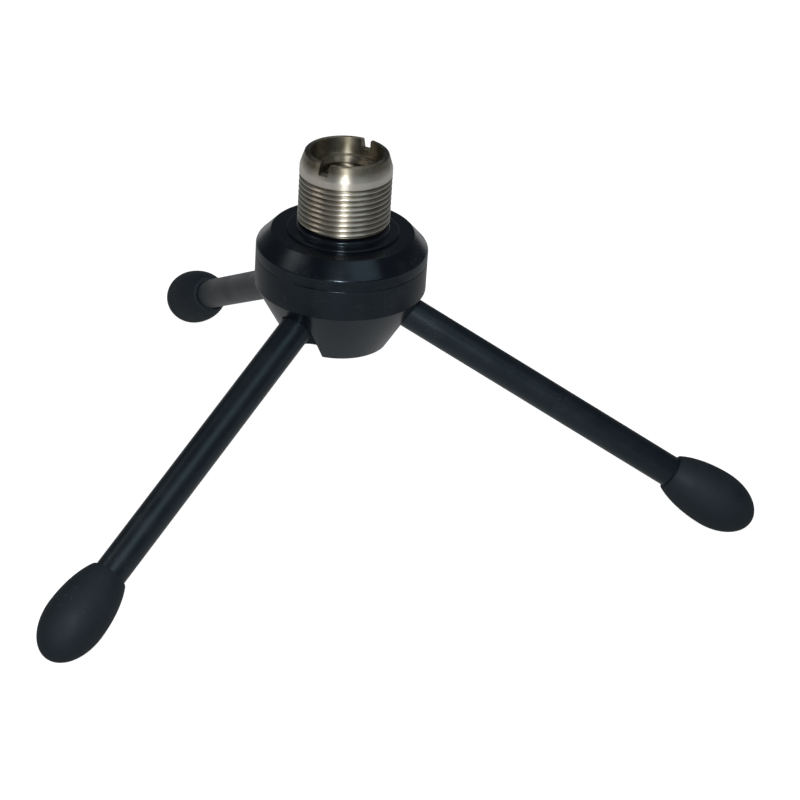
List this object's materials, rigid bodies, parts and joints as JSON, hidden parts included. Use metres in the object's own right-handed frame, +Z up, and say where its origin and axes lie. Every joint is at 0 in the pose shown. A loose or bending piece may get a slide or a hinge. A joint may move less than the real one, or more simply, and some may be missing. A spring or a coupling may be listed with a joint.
{
  "type": "desktop mic stand",
  "caption": "Small desktop tripod stand: turned hub with a slotted thread adapter on top and three folding rod legs on egg-shaped rubber feet.",
  "frame": {"origin": "on the hub's axis, at the seat where the thread adapter's lower end meets its washer", "axes": "+Z up along the hub's axis, towards the adapter's mouth; +X along leg a"},
  "size_m": [0.1159, 0.1324, 0.0656],
  "materials": {
    "hub_black": "turned metal, gloss black",
    "plated_thread": "bright nickel plate",
    "stud_steel": "zinc-plated thread",
    "washer_black": "black fibre washer",
    "plain_steel": "bright steel",
    "spring_steel": "hardened and oiled",
    "black_oxide": "black oxide",
    "leg_black": "satin black",
    "pin_steel": "ground steel",
    "foot_rubber": "moulded matte black rubber"
  },
  "bodies": {
    "hub": {"hub_body": "hub_black", "hub_cap": "hub_black", "keeper_plate": "plain_steel", "thrust_washer": "plain_steel", "disc_spring": "spring_steel", "center_stud": "stud_steel", "neck_nut": "hub_black", "clamp_screw": "black_oxide", "lock_washer": "plain_steel"},
    "seat_washer": {"adapter_washer": "washer_black"},
    "adapter": {"thread_adapter": "plated_thread"},
    "leg_a": {"leg_rod_a": "leg_black", "pivot_pin_a": "pin_steel", "rubber_foot_a": "foot_rubber"},
    "leg_b": {"leg_rod_b": "leg_black", "pivot_pin_b": "pin_steel", "rubber_foot_b": "foot_rubber"},
    "leg_c": {"leg_rod_c": "leg_black", "pivot_pin_c": "pin_steel", "rubber_foot_c": "foot_rubber"}
  },
  "joints": [
    {"name": "leg_a_fold", "type": "hinge", "parent": "hub", "child": "leg_a", "pos_m": [0.0083, 0, -0.01399], "axis": [0, 1, 0], "range_deg": [0, 61.1]},
    {"name": "leg_b_fold", "type": "hinge", "parent": "hub", "child": "leg_b", "pos_m": [-0.00415, 0.00719, -0.01399], "axis": [-0.866, -0.5, 0], "range_deg": [0, 61.1]},
    {"name": "leg_c_fold", "type": "hinge", "parent": "hub", "child": "leg_c", "pos_m": [-0.00415, -0.00719, -0.01399], "axis": [0.866, -0.5, 0], "range_deg": [0, 61.1]},
    {"name": "adapter_turn", "type": "hinge", "parent": "hub", "child": "seat_washer", "pos_m": [0, 0, 0], "axis": [0, 0, 1], "range_deg": [0, 1440]},
    {"name": "adapter_rise", "type": "slide", "parent": "seat_washer", "child": "adapter", "axis": [0, 0, 1], "range_m": [0, 0.00636]}
  ],
  "couplings": [
    {"joint": "adapter_rise", "follows": "adapter_turn", "m_per_rad": 0.00025266}
  ]
}
